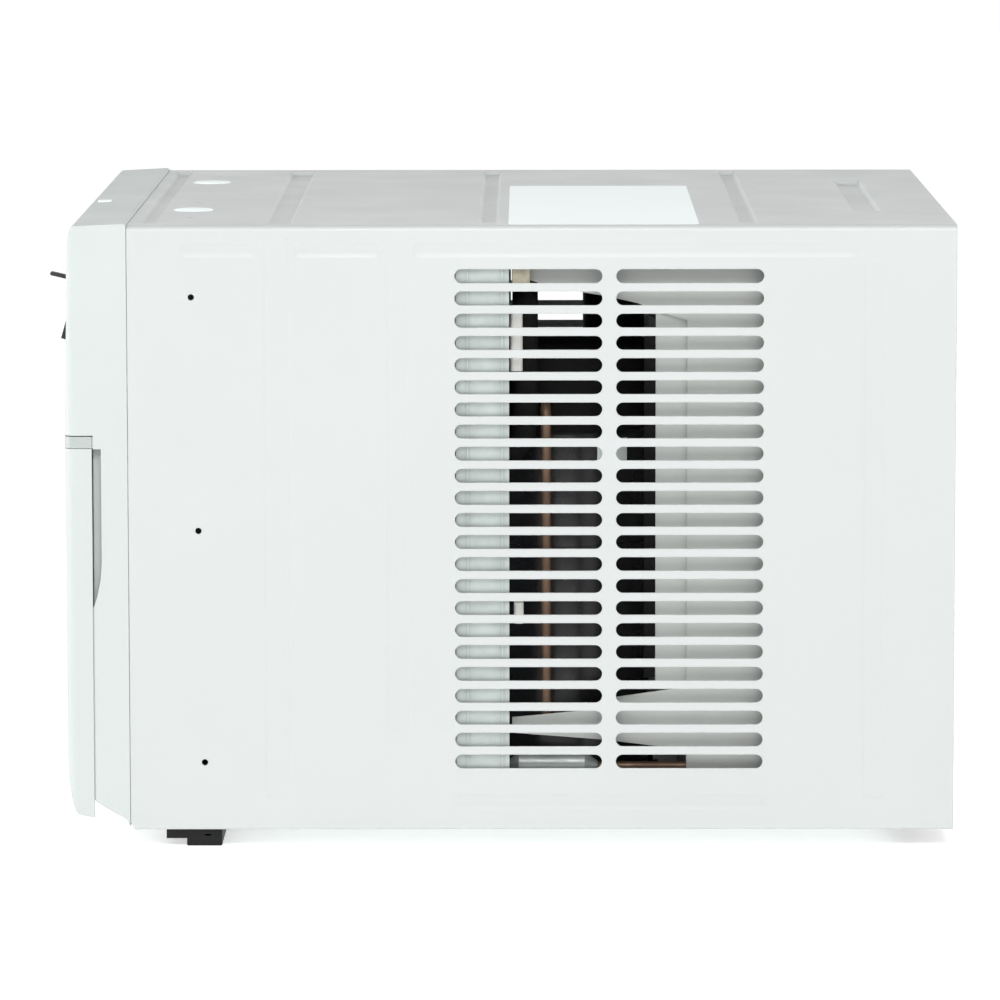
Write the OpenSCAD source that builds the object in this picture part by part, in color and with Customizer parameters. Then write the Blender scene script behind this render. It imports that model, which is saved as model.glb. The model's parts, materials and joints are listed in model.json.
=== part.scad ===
// Window air conditioner, standing on its sill rail.
// X runs to the right seen from the front, Y from the front to the back, Z up.
// The origin is the bottom centre of the whole object. Depths are measured back from
// the joint between the front bezel and the cabinet, so parts in front of it are negative.

/* [Cabinet] */
// Width of the sheet-metal cabinet
cabinet_w = 482; // [480:1:490]
// Depth of the cabinet behind the front joint
cabinet_d = 500; // [498:1:510]
// Height of the cabinet
cabinet_h = 368; // [366:1:374]
// Height of the sill rail under the cabinet
rail_h = 11; // [8:1:14]
// Thickness of the cabinet sheet
sheet_t = 1; // [0.8:0.1:1.2]
// Radius of the two bends along the top
bend_r = 4; // [3:0.5:6]

/* [Side louvres] */
// Number of slot rows on each side
slot_rows = 23; // [12:1:23]
// Length of one slot
slot_l = 89; // [60:1:89]
// Height of one slot
slot_h = 8.4; // [6:0.2:9.4]
// Distance from one row to the next
slot_pitch = 13.44; // [12:0.01:13.5]

/* [Front] */
// Depth of the bezel at its deepest, in front of the joint
bezel_depth = 38.4; // [36:0.2:40]
// Wall thickness of the bezel and the grille
wall = 2.5; // [2:0.1:3]
// Tilt of the upper louver blades, tip up
upper_tilt = 13.2; // [0:0.1:30]
// Tilt of the lower louver blades, tip down
lower_tilt = 74; // [0:0.1:80]

/* [Air movers] */
// Height of the fan axis
axis_z = 182; // [180:1:184]
// Sideways place of the fan axis
axis_x = -40; // [-42:1:-38]
// Radius of the blower wheel
blower_r = 92; // [80:1:94]
// Radius of the condenser fan's slinger ring
fan_r = 121; // [118:1:122]
// Number of blower blades
blower_blades = 36; // [24:1:42]

/* [Hidden] */
$fn = 48;

// Overall frame
half_w = cabinet_w / 2;
cab_bottom = rail_h;
cab_top = rail_h + cabinet_h;
slop = 0.5;

// Outlet, louver blades and vanes
outlet_x = 222;
outlet_z0 = 306;
outlet_z1 = 360;
frame_t = 2.2;
frame_front = -36.2;
frame_back = 11;
blade_pivot_d = -34;
blade_tip = 14.3;
upper_pivot_z = 344.8;
lower_pivot_z = 321.1;
pin_gap = 0.05;
blade_pin_r = 1.2;
vane_pivot_d = -2;
vane_pin_r = 1.5;
link_arm = 9;
link_pin_r = 1;
vanes_per_side = 4;
post_half = 3;

// Grille and filter
grille_back = -21.9;
hinge_d = -22.5;
hinge_z = 28;
grille_top = 243.9;
grille_bottom = 19.8;
grille_heel = 18.2;
strip_z0 = 244.2;
strip_z1 = 251.2;
hinge_pin_r = 2;
ear_x = 201;
ear_t = 5;

// Controls
fascia_x = 99.7;
fascia_z0 = 262.3;
fascia_z1 = 297.7;
button_z = 280;
button_w = 14.6;
button_h = 9.6;
button_xs = [-84, -64, -44, 44, 64, 84];

// Refrigeration parts
comp = [150, 262];
comp_r = 54;
comp_foot_r = 69;
comp_dome_z = 246;
comp_dome_h = 34;
comp_top = comp_dome_z + comp_dome_h;
motor_r = 58;
shaft_r = 4;
liquid_x = 221;
accumulator_at = [66, 240];
suction_x = 216;
suction_z = 333;
liquid_z = 46.5;
discharge_z = 67.5;

// The tips of the resting upper blades are the foremost points of the object
front_overhang = blade_tip * cos(upper_tilt) - blade_pivot_d;
joint_y = (front_overhang - cabinet_d) / 2;

function at(d) = joint_y + d;

// ---------------------------------------------------------------- building blocks

module block(x0, x1, d0, d1, z0, z1)
    translate([x0, at(d0), z0]) cube([x1 - x0, d1 - d0, z1 - z0]);

// Side outline (depth, height), extruded across the width
module across(x0, x1)
    translate([x0, joint_y, 0]) rotate([90, 0, 90]) linear_extrude(x1 - x0) children();

// Front outline (x, height), extruded from one depth back to another
module back_from(d0, d1)
    translate([0, at(d1), 0]) rotate([90, 0, 0]) linear_extrude(d1 - d0) children();

// Plan outline (x, depth), extruded upwards
module up_from(z0, z1)
    translate([0, joint_y, z0]) linear_extrude(z1 - z0) children();

module rod_y(x, z, d0, d1, r)
    translate([x, at(d0), z]) rotate([-90, 0, 0]) cylinder(h = d1 - d0, r = r);

module rod_x(d, z, x0, x1, r)
    translate([x0, at(d), z]) rotate([0, 90, 0]) cylinder(h = x1 - x0, r = r);

module rod_z(x, d, z0, z1, r)
    translate([x, at(d), z0]) cylinder(h = z1 - z0, r = r);

module both_sides() {
    children();
    mirror([1, 0, 0]) children();
}

// Long hole with round ends, centred
module slot(l, h) {
    square([l - h, h], center = true);
    for (s = [-1, 1]) translate([s * (l - h) / 2, 0]) circle(d = h);
}

module rounded_rect(w, h, r) {
    square([w - 2 * r, h], center = true);
    square([w, h - 2 * r], center = true);
    for (i = [-1, 1], j = [-1, 1]) translate([i * (w / 2 - r), j * (h / 2 - r)]) circle(r);
}

// Quarter ellipse about the origin, from its top to its side
function quarter(rx, ry, n) = [for (i = [0:n]) [rx * sin(90 * i / n), ry * cos(90 * i / n)]];

// Shallow pressing with sloped walls, opening upwards at z = 0
module tray_outline(w, depth, slope)
    polygon([[-w / 2, slop], [-w / 2, 0], [-w / 2 + slope, -depth],
             [w / 2 - slope, -depth], [w / 2, 0], [w / 2, slop]]);

module pressing(w, l, depth, slope)
    intersection() {
        rotate([90, 0, 0]) linear_extrude(l, center = true) tray_outline(w, depth, slope);
        rotate([90, 0, 90]) linear_extrude(w, center = true) tray_outline(l, depth, slope);
    }

// Tube through a list of points (x, depth, z), with a knuckle at each bend
module pipe(points, r) {
    knuckle = 1.06;
    for (i = [0:len(points) - 2]) {
        a = points[i];
        v = points[i + 1] - a;
        length = norm(v);
        translate([a[0], at(a[1]), a[2]])
            rotate([0, acos(v[2] / length), atan2(v[1], v[0])])
            cylinder(h = length, r = r, $fn = 24);
    }
    for (i = [1:len(points) - 2])
        translate([points[i][0], at(points[i][1]), points[i][2]])
            sphere(r * knuckle, $fn = 24);
}

// ---------------------------------------------------------------- cabinet

// Each trough in the top: depth of its middle, width, length
top_troughs = [[10.9, 11.2, 442], [90.5, 17, 442], [218, 12, 442], [375.2, 11.5, 442],
    [451.7, 17.5, 266]];
top_trough_depth = 2.6;
// Each bead in a side: first and last depth, lowest and highest edge
side_beads = [[31.7, 80.5, 359.8, 368.6], [100.3, 154, 359.8, 368.6],
    [172, 441, 359.8, 368.6], [196, 388, 24, 32]];
side_bead_depth = 1;
side_bead_r = 10.2;
side_bead_reach = 4.4;
side_channels = [[82, 98, 30, 372], [156, 170, 72, 356], [444, 458, 30, 356]];
side_channel_depth = 0.3;
louvre_mid_d = 290.7;
louvre_gap = 8.4;
louvre_top_z = 348.3;
curtain_holes = [[38.7, 335.7], [42.3, 193.9], [45.3, 52.2]];
curtain_hole_r = 1.9;
rail_hole_d = 36;
rail_hole_r = 2;
rail_hole_xs = [-177, -59, 59, 177];
plug_x = 118;
plug_d = 34.4;
plug_r = 12.5;
rear_lip = 12;
rear_t = 1.5;
rear_panel_d = cabinet_d - 3.2;
rear_screws_at = [[234, 52], [234, 195], [234, 338]];
rear_screw_r = 1.9;

module shell_outline(inset, floor_z) {
    w = cabinet_w - 2 * inset;
    top = cab_top - inset;
    r = bend_r - inset;
    translate([-w / 2, floor_z]) square([w, top - r - floor_z]);
    translate([r - w / 2, top - 2 * r]) square([w - 2 * r, 2 * r]);
    for (s = [-1, 1]) translate([s * (w / 2 - r), top - r]) circle(r);
}

module top_pressings(sink, grow)
    for (t = top_troughs)
        translate([0, at(t[0]), cab_top - sink])
            pressing(t[2] + 2 * grow, t[1] + 2 * grow, top_trough_depth, 2);

module side_pressings(sink, grow)
    both_sides() {
        for (b = side_beads) side_bead(b, sink);
        for (c = side_channels) side_pressing(c, side_channel_depth, 1, sink, grow);
    }

module side_pressing(b, depth, slope, sink, grow)
    translate([half_w - sink, at((b[0] + b[1]) / 2), (b[2] + b[3]) / 2])
        rotate([0, 90, 0])
        pressing(b[3] - b[2] + 2 * grow, b[1] - b[0] + 2 * grow, depth, slope);

// Shallow round bead with round ends, pressed inwards
module side_bead(b, sink)
    intersection() {
        x = half_w + side_bead_r - side_bead_depth;
        z = (b[2] + b[3]) / 2;
        ends = [b[0] + side_bead_reach, b[1] - side_bead_reach];
        union() {
            rod_y(x, z, ends[0], ends[1], side_bead_r + sink);
            for (d = ends) translate([x, at(d), z]) sphere(side_bead_r + sink + 0.02);
        }
        block(half_w - 5, half_w + (sink > 0 ? -slop : slop), b[0] - 5, b[1] + 5,
              b[2] - 5, b[3] + 5);
    }

module louvre_slots()
    for (row = [0:slot_rows - 1], column = [-1, 1])
        translate([louvre_mid_d + column * (slot_l + louvre_gap) / 2,
                   louvre_top_z - row * slot_pitch])
            slot(slot_l, slot_h);

module plug_dishes(sink, grow)
    for (s = [-1, 1])
        translate([s * plug_x, at(plug_d), cab_top - sink - 0.8])
            cylinder(h = 0.8 + slop, r = plug_r + 0.3 + grow);

module cabinet_shell() color("whitesmoke")
    difference() {
        union() {
            difference() {
                back_from(0, cabinet_d) shell_outline(0, cab_bottom);
                back_from(-1, rear_panel_d - sheet_t) shell_outline(sheet_t, cab_bottom - 1);
                back_from(rear_panel_d, cabinet_d + 1) shell_outline(sheet_t, cab_bottom - 1);
                block(rear_lip - half_w, half_w - rear_lip, -1, cabinet_d + 1,
                      cab_bottom - 1, cab_top - rear_lip);
            }
            top_pressings(sheet_t, 0.6);
            side_pressings(sheet_t, 0.6);
            plug_dishes(sheet_t, 0.6);
        }
        top_pressings(0, 0);
        side_pressings(0, 0);
        plug_dishes(0, 0);
        across(-half_w - 1, half_w + 1) louvre_slots();
        across(-half_w - 1, half_w + 1)
            polygon([[-1, cab_bottom + 5.8], [-1, cab_bottom - 1], [3.5, cab_bottom - 1]]);
        for (h = curtain_holes)
            rod_x(h[0], h[1], -half_w - 1, half_w + 1, curtain_hole_r);
        for (x = rail_hole_xs)
            rod_z(x, rail_hole_d, cab_top - 3, cab_top + 1, rail_hole_r);
        both_sides()
            for (s = rear_screws_at)
                rod_y(s[0], s[1], rear_panel_d - 3, cabinet_d + 1, rear_screw_r);
    }

rear_columns = 5;
rear_slot_l = 74;
rear_slot_step = 84;

module rear_panel() color("whitesmoke")
    back_from(rear_panel_d, rear_panel_d + rear_t)
    difference() {
        shell_outline(sheet_t + 0.3, cab_bottom + 0.5);
        for (row = [0:slot_rows - 1], column = [0:rear_columns - 1])
            translate([(column - (rear_columns - 1) / 2) * rear_slot_step,
                       louvre_top_z - row * slot_pitch])
                slot(rear_slot_l, slot_h);
        both_sides()
            for (s = rear_screws_at) translate(s) circle(rear_screw_r + 0.2);
    }

module rear_screws() color("silver")
    both_sides()
        for (s = rear_screws_at) {
            rod_y(s[0], s[1], rear_panel_d - 6, rear_panel_d + rear_t, rear_screw_r - 0.05);
            rod_y(s[0], s[1], rear_panel_d + rear_t, cabinet_d, 4.4);
        }

// ---------------------------------------------------------------- base

pan_t = 1.2;
pan_x = 239.5;
pan_flange_top = 22;
pan_back = rear_panel_d - 1.5;
pan_ribs = [86, 130, 470];
stud_r = 3;

module foot_places()
    for (a = [45:90:315])
        translate([comp[0] + comp_foot_r * cos(a), at(comp[1] + comp_foot_r * sin(a)), 0])
            children();

module base_pan() color("gainsboro") {
    pan_top = cab_bottom + pan_t;
    difference() {
        union() {
            block(-pan_x, pan_x, 2, pan_back, cab_bottom, pan_top);
            both_sides()
                block(pan_x - pan_t, pan_x, 2, pan_back, cab_bottom, pan_flange_top);
            block(-pan_x, pan_x, pan_back - pan_t, pan_back, cab_bottom, pan_flange_top);
            for (d = pan_ribs)
                translate([0, at(d), pan_top]) mirror([0, 0, 1]) pressing(380, 24, 4, 5);
            foot_places() translate([0, 0, cab_bottom]) cylinder(h = 30, r = stud_r);
        }
        for (d = pan_ribs)
            translate([0, at(d), cab_bottom]) mirror([0, 0, 1]) pressing(377, 21, 4, 5);
        rod_z(-228, 12, cab_bottom - 1, pan_top + 1, 7);
        both_sides()
            for (d = [40, 250, 460]) rod_z(225, d, cab_bottom - 1, pan_top + 1, 2.5);
    }
}

module sill_rail() color("#1c1c1e") {
    rail_x = 236;
    cap_t = 2;
    difference() {
        across(-rail_x, rail_x)
            polygon([[21.4, rail_h], [21.4, rail_h - 6.4], [33.8, rail_h - 6.4], [33.8, 0.7],
                     [34.5, 0], [54.6, 0], [55.3, 0.7], [55.3, rail_h]]);
        across(cap_t - rail_x, rail_x - cap_t)
            polygon([[36.2, 2.2], [52.9, 2.2], [52.9, rail_h - 2.2], [36.2, rail_h - 2.2]]);
        // drain slots in the end caps
        block(-rail_x - 1, rail_x + 1, 44.7, 48.7, 6.1, 7.1);
    }
}

module cord_grommet() color("#202020")
    difference() {
        union() {
            rod_z(-228, 12, cab_bottom - 1.6, cab_bottom, 9);
            rod_z(-228, 12, cab_bottom - 0.1, cab_bottom + pan_t + 0.1, 6.9);
            rod_z(-228, 12, cab_bottom + pan_t, cab_bottom + pan_t + 1.6, 9);
        }
        rod_z(-228, 12, cab_bottom - 2, cab_bottom + pan_t + 2, 4);
    }

// ---------------------------------------------------------------- inner walls

bulkhead_d = 198;

module bulkhead() color("#cfd6d2")
    difference() {
        union() {
            block(-237.5, 237.5, bulkhead_d, bulkhead_d + 1.2, cab_bottom + pan_t, 377.5);
            both_sides()
                block(236.3, 237.5, bulkhead_d, 230.3, cab_bottom + pan_t, 376);
        }
        rod_y(axis_x, axis_z, bulkhead_d - 1, bulkhead_d + 2, 30);
        rod_y(suction_x, 240, bulkhead_d - 1, bulkhead_d + 2, 10);
        rod_y(liquid_x, liquid_z, bulkhead_d - 1, bulkhead_d + 2, 5);
    }

shroud_d = 340;
shroud_x = 230;
shroud_t = 2;
shroud_band_x = 226;
shroud_ring_d = 326;

module shroud_side()
    polygon([[438, 15], [438, 358], [243, 358], [243, 345], [256, 341], [270, 338.5],
             [290, 335], [308, 331], [319, 326.5], [shroud_d, 320], [shroud_d, 97],
             [286, 89], [284, 83], [232, 78], [232, 68.6], [286, 64.4],
             [shroud_d, 58], [shroud_d, 15]]);

module fan_shroud() color("#d4d8d6")
    difference() {
        union() {
            both_sides() across(shroud_x - shroud_t, shroud_x) shroud_side();
            block(-shroud_x, shroud_x, shroud_d - shroud_t, 438, 356, 358);
            block(-shroud_x, shroud_x, shroud_d - shroud_t, 438, 15, 17);
            block(-shroud_x, shroud_x, shroud_d - shroud_t, shroud_d, 15, 358);
            both_sides() block(shroud_band_x, shroud_band_x + shroud_t, 319, shroud_d, 99.5, 327);
            rod_y(axis_x, axis_z, shroud_ring_d, shroud_d, 128);
            block(15, 65, 274, shroud_d, 290, 293);
        }
        rod_y(axis_x, axis_z, shroud_ring_d - 1, shroud_d + 1, 125.5);
        rod_y(222, discharge_z, shroud_d - 3, shroud_d + 1, 5);
        rod_y(liquid_x, liquid_z, shroud_d - 3, shroud_d + 1, 4);
    }

module drain_tray() color("#e4e6e4")
    difference() {
        block(-215, 215, 3, 60, cab_bottom + pan_t, 27.8);
        block(-213, 213, 5, 58, 15, 30);
    }

// ---------------------------------------------------------------- heat exchangers

fin_t = 0.8;
bend_tube_r = 4.75;
bend_r_coil = 10.5;

module fin_pack(reach, d0, d1, z0, z1, count)
    up_from(z0, z1)
        for (i = [0:count - 1])
            translate([-reach + i * (2 * reach - fin_t) / (count - 1), d0])
                square([fin_t, d1 - d0]);

// Half a ring that joins two tubes one above the other on the +X end
module return_bend(x, d, z) {
    stub = 6;
    for (s = [-1, 1])
        rod_x(d, z + s * bend_r_coil, x - stub, x, bend_tube_r);
    translate([x, at(d), z]) rotate([90, 0, 0])
        rotate([0, 0, -90])
        rotate_extrude(angle = 180) translate([bend_r_coil, 0]) circle(bend_tube_r, $fn = 24);
}

module coil_bends(x, depths, z0, pairs)
    for (d = depths) {
        for (i = [0:pairs - 1])
            return_bend(x, d, z0 + i * 4 * bend_r_coil);
        mirror([1, 0, 0])
            for (i = [0:pairs - 2])
                return_bend(x, d, z0 + (i * 4 + 2) * bend_r_coil);
    }

module condenser_fins() color("silver") fin_pack(215, 440, 478, 20, 358, 60);
module condenser_tubes() color("#b87333") coil_bends(223, [449.5, 468.5], 36, 8);
module condenser_end_plates() color("#c8ccd0")
    both_sides() block(215.5, 216.7, 438, 480, 16, 362);

module evaporator_fins() color("silver") fin_pack(200, 8, 44, 34, 276, 56);
module evaporator_tubes() color("#b87333") coil_bends(208, [17, 35], 48, 5);
module evaporator_end_plates() color("#c8ccd0")
    both_sides() block(200.5, 201.7, 6, 46, 30, 280);

// ---------------------------------------------------------------- air movers

scroll_start = 110;
scroll_sweep = 250;
scroll_r0 = 101;
scroll_growth = 23;
scroll_t = 2.5;

function scroll_r(i, n) = scroll_r0 + scroll_growth * i / n;
function scroll_point(i, n, grow) =
    let (a = scroll_start + scroll_sweep * i / n, r = scroll_r(i, n) + grow)
    [axis_x + r * cos(a), axis_z + r * sin(a)];

throat_left = axis_x + scroll_r0 * cos(scroll_start);
throat_right = axis_x + scroll_r0 + scroll_growth;
duct_z0 = 302.5;
duct_z1 = 366;

module scroll_wall() {
    n = 30;
    polygon(concat(
        [for (i = [0:n]) scroll_point(i, n, 0)],
        [[throat_right, duct_z0 + 1], [throat_right + scroll_t, duct_z0 + 1]],
        [for (i = [n:-1:0]) scroll_point(i, n, scroll_t)]));
    translate([throat_left - scroll_t, axis_z + scroll_r0 * sin(scroll_start) - 1])
        square([scroll_t, duct_z0 + 2 - axis_z - scroll_r0 * sin(scroll_start)]);
}

module blower_housing() color("#e8e8e4") {
    front_d = 98;
    back_d = 195.5;
    difference() {
        union() {
            // plenum behind the evaporator, with the inlet plate
            difference() {
                block(-207.5, 207.5, 47, front_d + scroll_t, 28, duct_z0);
                block(-205, 205, 46, front_d, 30.5, duct_z0 - scroll_t);
            }
            back_from(front_d, back_d) scroll_wall();
            // outlet duct over the evaporator
            difference() {
                block(-224.5, 224.5, frame_back + 0.5, back_d, duct_z0, duct_z1);
                block(-222, 222, frame_back, back_d - scroll_t,
                      duct_z0 + scroll_t, duct_z1 - scroll_t);
            }
            block(-180, 110, back_d - scroll_t, back_d, 50, duct_z0 + 1);
        }
        rod_y(axis_x, axis_z, front_d - 1, front_d + 5, 78);
        rod_y(axis_x, axis_z, back_d - 5, back_d + 1, 14);
        block(throat_left, throat_right, front_d + scroll_t, back_d - scroll_t,
              duct_z0 - 1, duct_z0 + scroll_t + 1);
    }
}

module blower_wheel() color("#3a3d40") {
    wheel_front = 108;
    wheel_back = 184;
    chord = 14;
    difference() {
        union() {
            back_from(wheel_front, wheel_back)
                for (i = [0:blower_blades - 1])
                    translate([axis_x, axis_z]) rotate(i * 360 / blower_blades)
                        translate([blower_r - chord - 1, 0]) rotate(35)
                        translate([0, -0.6]) square([chord, 1.2]);
            difference() {
                union() {
                    rod_y(axis_x, axis_z, wheel_front, wheel_front + 3, blower_r);
                    rod_y(axis_x, axis_z, wheel_back - 3, wheel_back, blower_r);
                }
                rod_y(axis_x, axis_z, wheel_front - 1, wheel_front + 4, blower_r - chord - 1);
            }
            rod_y(axis_x, axis_z, wheel_back - 26, wheel_back, 12);
        }
        rod_y(axis_x, axis_z, wheel_front - 1, wheel_back + 1, shaft_r + 0.02);
    }
}

// Flat blade set at a pitch about its own radial line
module fan_blade() {
    root_r = 26;
    spread = 40;
    rotate([14, 0, 0])
        rotate([90, 0, 0])
        translate([0, 0, -1])
        linear_extrude(2)
        intersection() {
            difference() {
                circle(fan_r - 4);
                circle(root_r);
            }
            polygon([[0, 0], [200 * cos(-spread / 2), 200 * sin(-spread / 2)],
                     [200 * cos(spread / 2), 200 * sin(spread / 2)]]);
        }
}

module condenser_fan() color("#303335") {
    fan_d = 330;
    fan_blades = 5;
    difference() {
        union() {
            translate([axis_x, at(fan_d), axis_z])
                for (i = [0:fan_blades - 1]) rotate([0, i * 360 / fan_blades, 0]) fan_blade();
            rod_y(axis_x, axis_z, fan_d - 9, fan_d + 9, 30);
            difference() {
                rod_y(axis_x, axis_z, fan_d - 4, fan_d + 4, fan_r);
                rod_y(axis_x, axis_z, fan_d - 5, fan_d + 5, fan_r - 6);
            }
        }
        rod_y(axis_x, axis_z, fan_d - 12, fan_d + 12, shaft_r + 0.02);
    }
}

module motor_shaft() color("silver") rod_y(axis_x, axis_z, 120, 341, shaft_r);

module fan_motor() color("#6f7478")
    difference() {
        union() {
            rod_y(axis_x, axis_z, 210, 282, motor_r - 3);
            rod_y(axis_x, axis_z, 222, 270, motor_r);
            rod_y(axis_x, axis_z, 202, 290, 16);
        }
        rod_y(axis_x, axis_z, 214, 278, motor_r - 12);
        rod_y(axis_x, axis_z, 200, 292, shaft_r + pin_gap);
    }

module motor_bracket() color("#aab0b4") {
    leg_half = 42;
    difference() {
        union() {
            block(axis_x - 60, axis_x + 60, 212, 280, cab_bottom + pan_t, 14.7);
            for (d = [226, 264])
                block(axis_x - leg_half, axis_x + leg_half, d, d + 2, 14, 150);
        }
        rod_y(axis_x, axis_z, 215, 275, motor_r + 0.1);
        for (d = [226, 264])
            rod_y(axis_x, 80, d - 1, d + 3, 22);
    }
}

// ---------------------------------------------------------------- refrigerant circuit

module compressor() color("#1a1b1d")
    translate([comp[0], at(comp[1]), 0])
    difference() {
        union() {
            rotate_extrude()
                polygon(concat([[0, 31], [comp_r - 6, 31], [comp_r, 37]],
                    [for (i = [0:5])
                        [comp_r * cos(18 * i), comp_dome_z + comp_dome_h * sin(18 * i)]]));
            translate([0, 0, 176]) cylinder(h = 3, r = comp_r + 1.5);
            for (a = [45:90:315])
                rotate(a) translate([30, -9, 28]) cube([48, 18, 3.2]);
        }
        translate([0, 0, 40]) cylinder(h = 204, r = comp_r - 10);
        for (a = [45:90:315])
            rotate(a) translate([comp_foot_r, 0, 27]) cylinder(h = 6, r = 7);
    }

module compressor_cap() color("#26282a")
    difference() {
        rod_z(comp[0], comp[1], 250, 300, 57);
        rod_z(comp[0], comp[1], 249, comp_top + 0.4, comp_r + 0.4);
        rod_x(252.5, 267, 180, 210, 4.2);
    }

module compressor_grommets() color("#151515")
    foot_places()
        difference() {
            union() {
                translate([0, 0, cab_bottom + pan_t]) cylinder(h = 28 - cab_bottom - pan_t, r = 11);
                translate([0, 0, 27]) cylinder(h = 5.3, r = 6.8);
                translate([0, 0, 31.3]) cylinder(h = 5, r = 9.5);
            }
            translate([0, 0, 10]) cylinder(h = 40, r = stud_r + 0.1);
        }

module accumulator() color("#1d1e20") {
    translate([accumulator_at[0], at(accumulator_at[1]), 0])
        rotate_extrude()
        polygon([[0, 70], [10, 72], [20, 82], [23, 92], [23, 208], [20, 218], [10, 228], [0, 230],
                 [0, 226], [9, 224], [17, 216], [20, 207], [20, 93], [17, 84], [9, 76], [0, 74]]);
    block(86, 97.7, 236, 248, 140, 146);
}

module suction_line() color("#232527")
    difference() {
        pipe([[accumulator_at[0], accumulator_at[1], 228],
              [accumulator_at[0], accumulator_at[1], suction_z],
              [suction_x, accumulator_at[1], suction_z], [suction_x, accumulator_at[1], 240],
              [suction_x, 26, 240], [203, 26, 240]], 8);
        rod_z(accumulator_at[0], accumulator_at[1], 200, 230, 14);
    }

module discharge_line() color("#b87333")
    pipe([[194.6, 252.5, 267], [222, 252.5, 267], [222, 252.5, discharge_z],
          [222, 444.7, discharge_z]], 3.2);

module capillary_tube() color("#b87333") {
    rod_y(liquid_x, liquid_z, 284, 444.7, 3);
    pipe([[liquid_x, 228, liquid_z], [liquid_x, 70, liquid_z], [liquid_x, 70, 70],
          [liquid_x, 26, 70], [203, 26, 70]], 1.6);
}

module filter_drier() color("#b9bdbb")
    translate([liquid_x, at(284), liquid_z]) rotate([90, 0, 0])
        rotate_extrude()
        polygon([[0, 0], [3.4, 0], [9, 8], [9, 48], [3, 56], [0, 56]]);

module run_capacitor() color("#141516") {
    difference() {
        rod_z(40, 296, 293, 349, 19.5);
        rod_z(40, 296, 295, 347, 17);
    }
    for (s = [-1, 1]) block(40 + s * 6 - 3, 40 + s * 6 + 3, 293, 294, 348.5, 354);
}

// ---------------------------------------------------------------- bezel

top_front_z = 358.3;
top_arc = [for (p = quarter(4.2, 20.4, 8)) [-32.3 - p[0], top_front_z + p[1]]];
low_centre = [-30.4, 58];

// Side outline of the bezel body
module bezel_side()
    polygon(concat([[-0.25, 12.8], [-2.5, 17.2], [-10.2, 21.4], [-21.2, 28.2],
        [-21.2, 251.8], [-38.2, 251.8],
        [-38.2, 262], [-37.6, 290], [-36.6, 330]],
        [for (i = [8:-1:0]) top_arc[i]],
        [[-2, 380.2], [-0.25, 379.2]]));

// Inner side outline of the bezel, one wall further in
module bezel_cavity_side()
    polygon([[0, 18.6], [-16, 28.2], [-16, 254.3], [-35.6, 254.3], [-35.6, 262], [-35.1, 290],
        [-34.1, 330], [-33.9, 360], [-32.6, 368], [-30.4, 375.6], [0, 377.4]]);

// Plan outline of the front, with rounded vertical corners
module front_plan(inset) {
    corner = 6.2 - inset;
    x = half_w - inset - corner;
    d = -bezel_depth + inset + corner;
    for (s = [-1, 1]) translate([s * x, d]) circle(corner);
    translate([-x, d - corner]) square([2 * x, corner + 2 - d]);
    translate([-x - corner, d]) square([2 * (x + corner), 2 - d]);
}

module bezel_ear()
    difference() {
        union() {
            rod_x(hinge_d, hinge_z, ear_x, ear_x + ear_t, 3.4);
            across(ear_x, ear_x + ear_t)
                polygon([[hinge_d, hinge_z - 1], [hinge_d, hinge_z + 3.4], [-8, 30], [-8, 22],
                         [-19, 27.4]]);
        }
        rod_x(hinge_d, hinge_z, ear_x - 1, ear_x + ear_t + 1, hinge_pin_r + pin_gap);
    }

module front_bezel() color("white")
    difference() {
        union() {
            difference() {
                intersection() {
                    across(-half_w, half_w) bezel_side();
                    up_from(0, 400) front_plan(0);
                }
                across(wall - half_w, half_w - wall) bezel_cavity_side();
                // open zone behind the grille
                block(-226, 226, -30, 5, 34, 246);
                block(wall - half_w, half_w - wall, -30, -14, 0, 251.8);
            }
            // flange that the filter air passes through
            difference() {
                block(wall - half_w, half_w - wall, -14, -11.5, 26, 252);
                block(-226, 226, -20, 0, 34, 246);
            }
            // tongues that slide into the cabinet
            both_sides() block(236.8, 239, -3, 9, 40, 360);
            both_sides() bezel_ear();
            // inner walls of the finger notches
            both_sides() block(232.5, 234.5, -21.5, -13.9, 143, 251.9);
        }
        // outlet and control openings
        block(-225, 225, -50, -20, 303.5, 362.5);
        block(-100, 100, -50, -20, 262, 298);
        // finger notches beside the top of the grille
        both_sides()
            across(half_w - wall - 1, half_w + 1)
                polygon([[-30, 243.6], [-16.4, 243.6], [-16.4, 173.5], [-17.2, 164],
                         [-19, 155], [-21.2, 147.9], [-30, 147.9]]);
    }

// ---------------------------------------------------------------- outlet

function vane_x(i) = post_half + (i + 0.5) * (outlet_x - post_half) / vanes_per_side;

module vane_places()
    both_sides()
        for (i = [0:vanes_per_side - 1]) translate([vane_x(i), 0, 0]) children();

module outlet_frame() color("#46494c")
    difference() {
        union() {
            difference() {
                block(-outlet_x - frame_t - 0.5, outlet_x + frame_t + 0.5, frame_front, frame_back,
                      outlet_z0 - frame_t, outlet_z1 + frame_t);
                block(-outlet_x, outlet_x, frame_front - 1, frame_back + 1,
                      outlet_z0, outlet_z1);
            }
            block(-post_half, post_half, frame_front, frame_back, outlet_z0 - 1, outlet_z1 + 1);
        }
        for (z = [upper_pivot_z, lower_pivot_z])
            rod_x(blade_pivot_d, z, -outlet_x - 10, outlet_x + 10, blade_pin_r + pin_gap);
        vane_places()
            rod_z(0, vane_pivot_d, outlet_z0 - 5, outlet_z1 + 5, vane_pin_r + pin_gap);
    }

// Finger tab: the upper one carries on the line of its blade, the lower one stands on its face
module louver_tab(pivot_z) {
    raised_t = 2.9;
    lower_tip = 14.2;
    if (pivot_z == upper_pivot_z)
        translate([-blade_tip / 2, 0]) slot(blade_tip, 2.3);
    else
        translate([-lower_tip, 0]) square([lower_tip, 1.05 + raised_t]);
}

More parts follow.
